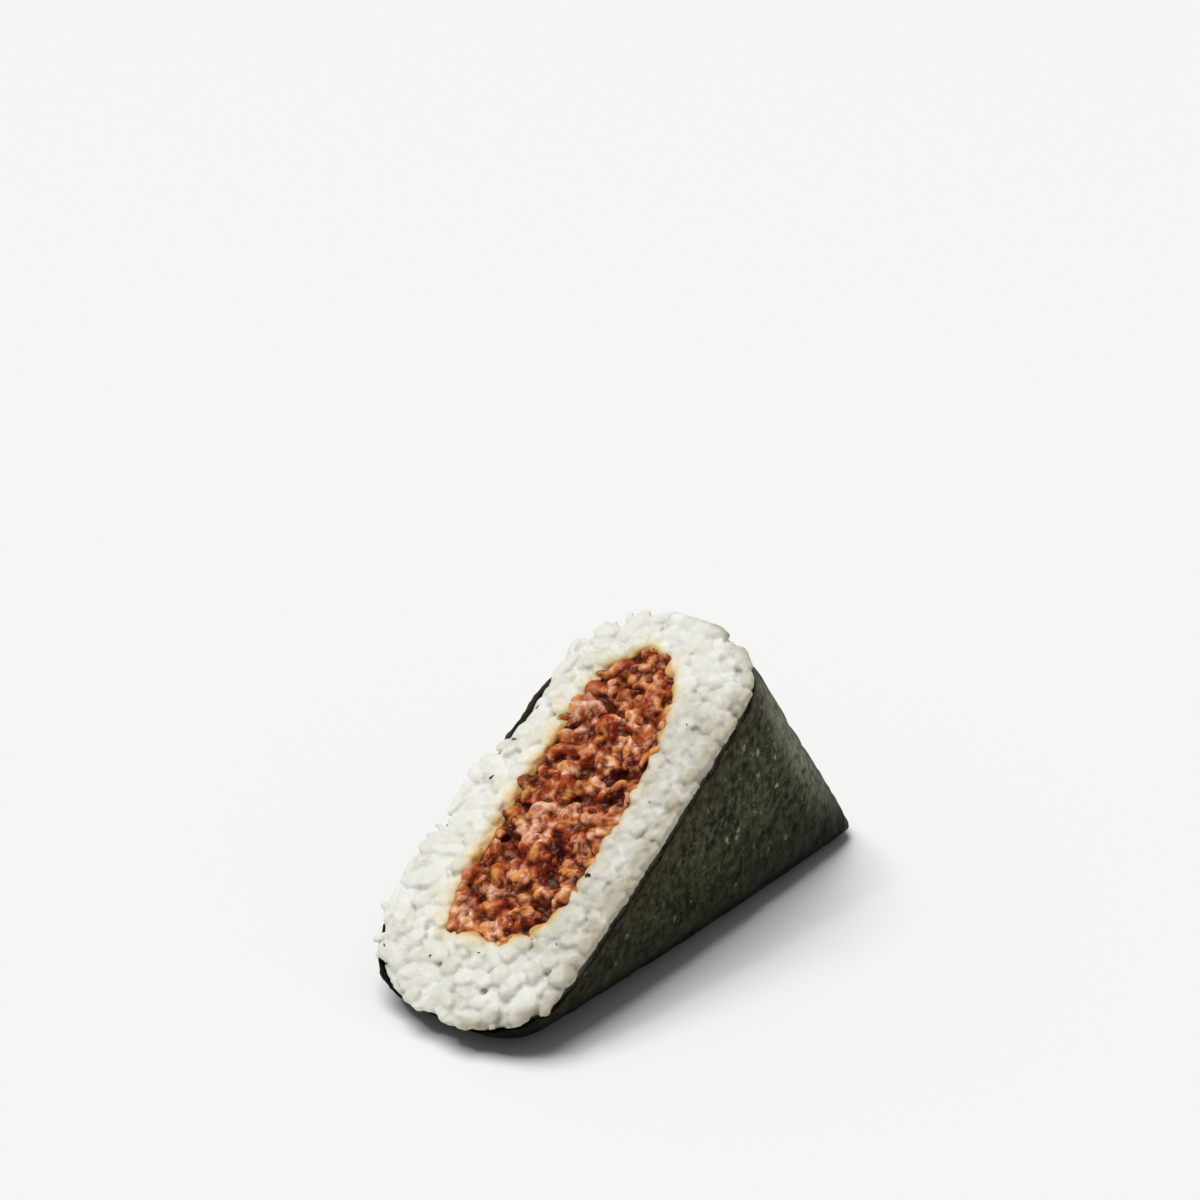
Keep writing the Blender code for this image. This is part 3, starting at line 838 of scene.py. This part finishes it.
def scattered_grains():
    """Capsules over the cut: middles, directions, half lengths, radii, and which ones the knife cut."""
    middle = np.empty((0, 3))
    while len(middle) < GRAIN_COUNT:
        u = random.uniform(CUT_START, BASE, 400)
        v = random.uniform(-THICKNESS / 2, THICKNESS / 2, 400)
        room = (filling_map.outside(u, v) > 0.7) & (np.abs(v) < half_thickness(u, 0.0, 0.6, v))
        room &= inset(u, 0.0) > 0.6
        q = CUT_LEVEL + 1.2 + 1.8 * random.random(400) ** 1.6
        middle = np.concatenate((middle, stacked(u, v, q)[room]))
    middle = middle[:GRAIN_COUNT]
    turn = random.uniform(0, 2 * np.pi, GRAIN_COUNT)
    u, v, _ = middle.T
    at_far_edge = (half_thickness(u, 0.0, 0.0, 1) - v < 3.5) & (v > 4)
    turn = np.where(at_far_edge, np.pi / 2 + random.normal(0, 0.6, GRAIN_COUNT), turn)
    cut_through = (random.random(GRAIN_COUNT) < 0.5) & ~at_far_edge
    lean = random.normal(0, np.where(cut_through, 1.0, 0.25))
    direction = stacked(np.cos(turn) * np.cos(lean), np.sin(turn) * np.cos(lean), np.sin(lean))
    size = random.uniform(0.86, 1.08, GRAIN_COUNT)
    radius = GRAIN_RADIUS * size * random.uniform(0.93, 1.06, GRAIN_COUNT) * np.where(at_far_edge, 0.72, 1.0)
    half = GRAIN_LENGTH / 2 * size * random.uniform(0.9, 1.06, GRAIN_COUNT) - radius
    return middle, direction, half, radius, cut_through


def held_in(point, radius, level):
    """How a grain's point moves to stay in the rice: off the rim, the filling, the cut and the depth."""
    u, v, q = point.T
    far = v > 2
    fix = 0.5 * pushed_inside(point, radius * np.where(far, 0.9, 0.7))
    fix[:, 2] += 0.5 * np.maximum(level - q, 0.0)
    fix[:, 2] -= 0.3 * np.maximum(q - 1.4, 0.0)
    shy = np.maximum(radius * np.where(far, 0.8, 0.95) - 0.15 - filling_map.outside(u, v), 0.0)
    away_u, away_v = filling_map.outwards(u, v)
    fix[:, 0] += 0.5 * np.minimum(shy, 2.0) * away_u
    fix[:, 1] += 0.5 * np.minimum(shy, 2.0) * away_v
    return fix


def pack_grains():
    """The scattered grains pushed apart until they lie close-packed."""
    middle, direction, half, radius, cut_through = scattered_grains()
    first, second = np.triu_indices(GRAIN_COUNT, 1)
    for step in range(PACKING_ROUNDS):
        if step % PAIRS_FOUND_EVERY == 0:
            apart = np.linalg.norm(middle[first] - middle[second], axis=1)
            close = apart < half[first] + half[second] + radius[first] + radius[second]
            a, b = first[close], second[close]
        move = np.zeros_like(middle)
        turn_by = np.zeros_like(middle)
        s, t = closest_between((middle[a], direction[a], half[a]), (middle[b], direction[b], half[b]))
        between = middle[a] + direction[a] * s[:, None] - middle[b] - direction[b] * t[:, None]
        distance = np.maximum(np.linalg.norm(between, axis=1), 1e-3)
        overlap = np.maximum(KEPT_APART * (radius[a] + radius[b]) - distance, 0.0)
        push = between / distance[:, None] * (0.35 * overlap)[:, None]
        for these, own_push, along in ((a, push, s), (b, -push, t)):
            np.add.at(move, these, own_push)
            np.add.at(turn_by, these, own_push * (along / (half[these] ** 2 + 1))[:, None])
        for end, share in ((-1.0, 0.5), (0.0, 0.7), (1.0, 0.5)):
            point = middle + direction * (half * end)[:, None]
            level = np.where(cut_through & (end != 0), -9.0, CUT_LEVEL + radius * 0.75)
            fix = held_in(point, radius, level)
            move += fix * share
            turn_by += fix * (share * end * half / (half**2 + 1))[:, None]
        move[:, 2] -= 0.03
        middle = middle + np.clip(move, -LONGEST_MOVE, LONGEST_MOVE)
        direction = direction + np.clip(turn_by, -LARGEST_TURN, LARGEST_TURN)
        direction /= np.linalg.norm(direction, axis=1, keepdims=True)
    return middle, direction, half, radius


def broken_bits():
    """Short ends and crumbs of grains that the knife broke, over the cut and out past its far edge."""
    tries = 6 * MOST_BITS
    u = random.uniform(CUT_START - 0.5, BASE + 0.3, tries)
    v = random.uniform(-THICKNESS / 2, THICKNESS / 2 + 0.8, tries)
    rim = np.minimum(half_thickness(u, 0.0, 0.0, v) - np.abs(v), inset(u, 0.0))
    loose = (v > 3) | (u < 14)
    room = (filling_map.outside(u, v) > 0.6) & (rim > np.where(loose, -0.3, 0.7))
    at_rim = room & loose & (rim < 0.7)
    kept = room & (at_rim | (random.random(tries) < 0.35)) & (bare_edge(u, v) < 0.02)
    u, v = u[kept][:MOST_BITS], v[kept][:MOST_BITS]
    count = len(u)
    middle = stacked(u, v, random.uniform(-0.95, -0.5, count))
    direction = random.normal(0, 1, (count, 3)) * (1.0, 1.0, 0.35)
    direction /= np.linalg.norm(direction, axis=1, keepdims=True)
    radius = random.uniform(0.4, 0.7, count)
    return middle, direction, random.uniform(0.2, 1.0, count), radius


def ball(around, along):
    """A sphere of radius 1 about the origin, long way in X, from rings between two ends."""
    points = [(-1.0, 0.0, 0.0)]
    for ring in range(1, along):
        tilt = math.pi * ring / along
        for i in range(around):
            turn = 2 * math.pi * i / around
            points.append((-math.cos(tilt), math.sin(tilt) * math.cos(turn), math.sin(tilt) * math.sin(turn)))
    points.append((1.0, 0.0, 0.0))
    end = len(points) - 1 - around
    faces = []
    for i in range(around):
        j = (i + 1) % around
        faces += [(0, 1 + i, 1 + j), (end + i, end + around, end + j)]
        for first in range(1, end, around):
            faces.append((first + i, first + around + i, first + around + j, first + j))
    return np.array(points), faces


def grain_points(ball_points, half, radius):
    """One cooked grain: plump, slightly bent, grooved along its length, with a notch where the germ was."""
    x, y, z = ball_points.T
    length = half + radius
    squeeze = 1 - 0.16 * np.abs(x) ** 3
    groove = 1 - 0.045 * (1 + np.cos(3 * np.arctan2(z, y) + random.uniform(0, 6.3))) * (1 - x * x)
    bend = radius * random.uniform(-0.25, 0.25) * (1 - x * x)
    blunt = 1 + random.uniform(-0.12, 0.12) * x
    full = np.sign(x) * np.abs(x) ** 0.86
    width = y * radius * squeeze * groove * blunt + bend
    body = stacked(full * length, width, z * radius * GRAIN_FLATNESS * squeeze * groove * blunt)
    notch_at = (length * 0.82, radius * 0.75, 0.0)
    depth = np.exp(-(((body - notch_at) / (0.54 * radius)) ** 2).sum(axis=1))
    body -= 0.32 * radius * depth[:, None] * (0.6, 0.8, 0.0)
    shift = random.uniform(0, 60, 3)
    body *= 1 + 0.07 * noise_at(body + shift, 1.5)[:, None]
    return body


def turned(body, direction):
    """Turns a shape that is long in X to lie along direction, rolled by chance."""
    helper = (0.0, 0.0, 1.0) if abs(direction[2]) < 0.9 else (0.0, 1.0, 0.0)
    across = np.cross(helper, direction)
    across /= np.linalg.norm(across)
    up = np.cross(direction, across)
    roll = random.uniform(0, 2 * np.pi)
    side = across * math.cos(roll) + up * math.sin(roll)
    top = np.cross(direction, side)
    return body @ np.stack((direction, side, top))


def pressed(points):
    """Grains as the knife, the sheet and the pressing left them."""
    above = np.maximum(CUT_LEVEL - points[:, 2], 0.0)
    flattened = 0.72 - 0.14 * falling(points[:, 0], 14.0, 26.0)
    points = points + stacked(0.0, 0.0, flattened * above)
    return points + pushed_inside(points, 0.0)


def build_grains(finish):
    """The grains and bits that the cut shows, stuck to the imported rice. Returns their points and faces."""
    grains, bits = pack_grains(), broken_bits()
    ball_points, ball_faces = ball(around=16, along=13)
    bodies, axes, tones = [], [], []
    for middle, direction, half, radius in zip(*(np.concatenate(pair) for pair in zip(grains, bits))):
        body = turned(grain_points(ball_points, half, radius), direction)
        bodies.append((body + middle, ball_faces))
        tone = random.uniform(0.25, 1.0)
        for along in (-0.8, 0.0, 0.8):
            axes.append(middle + direction * half * along)
            tones.append(tone)
    points, faces = together(bodies)
    points, faces = together([(pressed(points), faces), front_slab()])
    points, faces, normals = merged(points, faces, GRAIN_VOXEL, GRAIN_EASING, GRAINS_HIDDEN_FROM)
    squeezed = smooth(-points[:, 1], 6.0, 11.0)
    relief = (0.06 + 0.12 * squeezed) * noise_at(points, 1.4, 14.0)
    relief += (0.05 + 0.05 * squeezed) * noise_at(points, 0.75, 3.0) + 0.045 * noise_at(points, 0.4, 9.0)
    wall = smooth(points[:, 2], -0.78, -0.5)
    at_wall = wall > 0
    relief[at_wall] -= 0.16 * wall[at_wall] * seams_at(points[at_wall], 2.6)
    points += normals * relief[:, None]
    points[:, 2] += 0.7 * np.maximum(above_ground(points) - HIGHEST_RICE, 0.0) / COSINE
    attributes = rice_attributes(points, np.array(tones)[nearest(axes, points)])
    new_piece("rice_grains", points, faces, finish, "rice", "rice", **attributes)
    return points, faces


SPECKS = (
    # place on the cut, and length
    (46.7, 13.6, 1.0), (40.0, 12.6, 0.9), (12.4, 11.3, 0.7), (10.6, 10.0, 0.7),
    (31.9, -9.4, 1.2), (52.2, 13.2, 0.8), (57.0, -9.0, 0.5), (22.0, -10.6, 0.5),
    (16.4, -2.0, 0.45), (13.5, 4.0, 0.5), (44.8, -10.8, 0.5), (66.0, 2.6, 0.4),
)
SPECK_THICKNESS = 0.16


def build_specks(finish, rice_points, rice_faces):
    """Scraps that the knife tore off the sheet, stuck to the rice."""
    rice = bvhtree.BVHTree.FromPolygons(rice_points.tolist(), rice_faces)
    ball_points, ball_faces = ball(around=12, along=8)
    bodies = []
    for u, v, size in SPECKS:
        surface = rice.ray_cast(Vector((u, v, -8.0)), Vector((0.0, 0.0, 1.0)))[0]
        body = ball_points * (size, size * random.uniform(0.35, 0.6), SPECK_THICKNESS) / 2
        body *= 1 + 0.5 * noise_at(body + random.uniform(0, 50, 3), 0.35)[:, None]
        turn = random.uniform(0, 2 * np.pi)
        body = turned(body, np.array((math.cos(turn), math.sin(turn), random.uniform(-0.2, 0.2))))
        bodies.append((body * (1.0, 1.0, 0.5) + (u, v, surface.z), ball_faces))
    points, faces = together(bodies)
    # the specks take the sheet's painted shade at half height and none of its painted ridge highlight
    attributes = {"edge": 0.2, "height": 0.5, "lit_ridge": 0.0}
    new_piece("seaweed_specks", points, faces, finish, "seaweed", "seaweed_sheet", **attributes)


# The tuna

CRUMB_VOXEL = 0.19
CRUMB_EASING = 10
CRUMBS_HIDDEN_FROM = 2.3
PLACES_TRIED = 9000
LAYERS = (
    # spacing, inside the outline by, smallest and largest size, highest and lowest top, chance of being there
    (1.5, 0.2, 3.2, 4.6, -1.2, -0.4, 1.0),
    (2.3, 0.2, 3.4, 5.4, -2.1, -1.1, 0.95),
    (1.9, -0.2, 1.5, 2.4, -2.0, -1.5, 0.3),
)


def spill(u, v):
    """How far past the mouth the crumbs lie on the rice. The knife dragged them to the near side."""
    patches = noise_at(stacked(u, v, 0.0), 3.4, 15.0)
    return np.clip(0.1 + 0.75 * falling(v, -4.0, 4.0) + 0.6 * patches, 0.0, 1.0)


def spread(spacing, margin):
    """Places over the filling at least spacing apart, margin inside its outline."""
    u = random.uniform(FILLING_MIDDLE - 26, FILLING_MIDDLE + 26, PLACES_TRIED)
    v = random.uniform(-12, 14, PLACES_TRIED)
    reach = spill(u, v) if margin < 0 else 0.5 * smooth(-v, 2.0, 6.0) - 0.5 * smooth(v, 3.0, 7.0) - margin
    inside = filling_map.outside(u, v) < reach
    found = []
    for a, b in zip(u[inside], v[inside]):
        if all(math.hypot(a - x, b - y) >= spacing for x, y in found):
            found.append((a, b))
    return found


def lump_points(ball_points, size):
    """An irregular crumb, torn along its fibres."""
    stretch = np.array((random.uniform(0.9, 1.5), random.uniform(0.7, 1.0), random.uniform(0.55, 0.85)))
    body = ball_points * stretch * size / 2
    shift = random.uniform(0, 90, 3)
    swell = 1 + 0.45 * noise_at(body + shift, 0.55 * size) + 0.06 * noise_at(body + shift, 0.17 * size + 0.2)
    return body * swell[:, None]


def fibres_at(points, directions, shift):
    """1 along the crests of short fibres that run in each point's direction, 0 between them."""
    along = dot(points, directions)[:, None] * directions
    squashed = (points - along) / 0.5 + along / 2.2
    values = np.array([noise.noise(Vector(p) + Vector((s, -s, 0.5 * s))) for p, s in zip(squashed, shift)])
    return np.clip(1 - 2.4 * np.abs(values), 0.0, 1.0)


def build_crumbs(finish):
    """The crumbs of tuna that the cut shows, in layers, stuck together by the sauce."""
    ball_points, ball_faces = ball(around=18, along=12)
    bodies, tints, fibres = [], [], []
    for spacing, margin, smallest, largest, top, bottom, chance in LAYERS:
        places = spread(spacing, margin)
        mounds = noise_at([(u, v, 0.0) for u, v in places], 3.2, 27.0)
        for (u, v), mound in zip(places, mounds):
            if random.random() > chance:
                continue
            size = random.uniform(smallest, largest)
            direction = random.normal(0, 1, 3) * (1, 1, 0.5)
            direction /= np.linalg.norm(direction)
            body = turned(lump_points(ball_points, size), direction)
            q = random.uniform(top, bottom) - body[:, 2].min() + 0.45 * mound
            bodies.append((body + (u, v, q), ball_faces))
            tints.append(random.random())
            fibres.append(direction)
    points, faces, normals = merged(*together(bodies), CRUMB_VOXEL, CRUMB_EASING, CRUMBS_HIDDEN_FROM)
    lump = nearest([body.mean(axis=0) for body, _ in bodies], points)
    ridges = fibres_at(points, np.array(fibres)[lump], 31.0 * lump)
    cracks = np.exp(-((noise_at(points, 1.7, 3.0) / 0.11) ** 2))
    dents = noise_at(points, 1.2, 5.0)
    relief = 0.32 * dents + 0.04 * noise_at(points, 0.5, 2.0) + 0.08 * ridges - 0.1 * cracks
    points += normals * relief[:, None]
    u, v, q = points.T
    q += 2.0 * np.maximum(filling_map.outside(u, v) - 1.2, 0) * (q < 0.5)
    tint = 0.18 + 0.48 * np.array(tints)[lump] + 0.3 * noise_at(points, 3.2, 9.0)
    # the ridges term paints a pale highlight on the fibres' crests
    tint += 0.45 * noise_at(points, 1.5, 19.0) + 0.1 * (ridges - 0.5) + 0.18 * dents
    # how sunk each point is, for the hollow darkening: partly sauce lying low, partly painted shade in the
    # cracks
    sunk = q + 0.8 * noise_at(points, 2.8, 33.0) + 0.6 * cracks - 0.35 * ridges - 0.9 * dents
    at_rim = 0.7 * smooth(filling_map.outside(u, v), -1.4, 0.3)
    at_rim *= smooth(noise_at(points, 2.0, 7.0), -0.35, 0.4)
    oil = np.maximum(at_rim, 0.65 * smooth(noise_at(points, 2.2, 25.0), 0.24, 0.46))
    attributes = {"tint": np.clip(tint, 0, 1), "hollow": smooth(sunk, -2.1, 0.0), "oil": oil}
    new_piece("tuna_crumbs", points, faces, finish, "tuna", "tuna_filling", **attributes)


def build_tuna_core(finish):
    """The filling that runs on inside the rice, behind the crumbs."""
    points, faces = closed_from_rings(filling_rings(-0.2, 1.6, FILLING_DEPTH - 0.6))
    # hollow=0.9 paints it dark, as deep shade in the gaps behind the crumbs
    new_piece("tuna_core", points, faces, finish, "tuna", "tuna_filling", tint=0.1, hollow=0.9, oil=0.0)


# Stage, lights and camera

FLOOR_REACH = 2.5
FLOOR_BELOW = 0.00005
SKY = (0.97, 0.98, 1.0)
SKY_STRENGTH = 0.2
LIGHTS = (
    # name, strength, how wide it looks in degrees, colour, where it shines from
    ("key", 2.46, 42, (1.0, 0.99, 0.97), (-0.16, 0.17, 0.97)),
    # a weak one that the oil and the moist grains mirror as bright points
    ("glint", 0.26, 5, (1.0, 1.0, 1.0), (-0.45, 0.25, 0.86)),
)
CAMERA_TURN = math.radians(-51.8)
CAMERA_TILT = math.radians(26.6)
CAMERA_AIM = Vector((0.07365, 0.0609, 0.0))
CAMERA_DISTANCE = 0.6
CAMERA_LENS = 113.6


def look_from(obj, location, target=Vector((0, 0, 0))):
    obj.location = location
    obj.rotation_mode = "QUATERNION"
    obj.rotation_quaternion = (target - location).to_track_quat("-Z", "Y")


def build_stage():
    corners = FLOOR_REACH * np.array(((-1, -1, 0), (1, -1, 0), (1, 1, 0), (-1, 1, 0)))
    mesh = mesh_of("floor", corners, [(0, 1, 2, 3)])
    mesh.materials.append(floor_material())
    floor = put("floor", mesh)
    floor.location.z = -FLOOR_BELOW


def build_lights():
    world = bpy.data.worlds.new("studio")
    world.use_nodes = True
    sky = world.node_tree.nodes["Background"]
    sky.inputs["Color"].default_value = rgba(SKY)
    sky.inputs["Strength"].default_value = SKY_STRENGTH
    bpy.context.scene.world = world
    for name, strength, width, colour, source in LIGHTS:
        lamp = bpy.data.lights.new(name, "SUN")
        lamp.energy = strength
        lamp.angle = math.radians(width)
        lamp.color = colour
        look_from(put(name, lamp), Vector(source))


def build_camera():
    level = math.cos(CAMERA_TILT)
    back = Vector((math.sin(CAMERA_TURN) * level, -math.cos(CAMERA_TURN) * level, math.sin(CAMERA_TILT)))
    data = bpy.data.cameras.new("camera")
    data.lens = CAMERA_LENS
    data.sensor_width = 36.0
    data.clip_start = 0.01
    data.clip_end = 20.0
    camera = put("camera", data)
    look_from(camera, CAMERA_AIM + back * CAMERA_DISTANCE, CAMERA_AIM)
    bpy.context.scene.camera = camera


def main():
    rice = rice_material()
    tuna = tuna_material()
    seaweed = seaweed_material()
    build_sheet(seaweed)
    build_rice_core(rice)
    build_specks(seaweed, *build_grains(rice))
    build_tuna_core(tuna)
    build_crumbs(tuna)
    build_stage()
    build_lights()
    build_camera()
    bpy.context.scene.view_settings.view_transform = "Standard"


main()
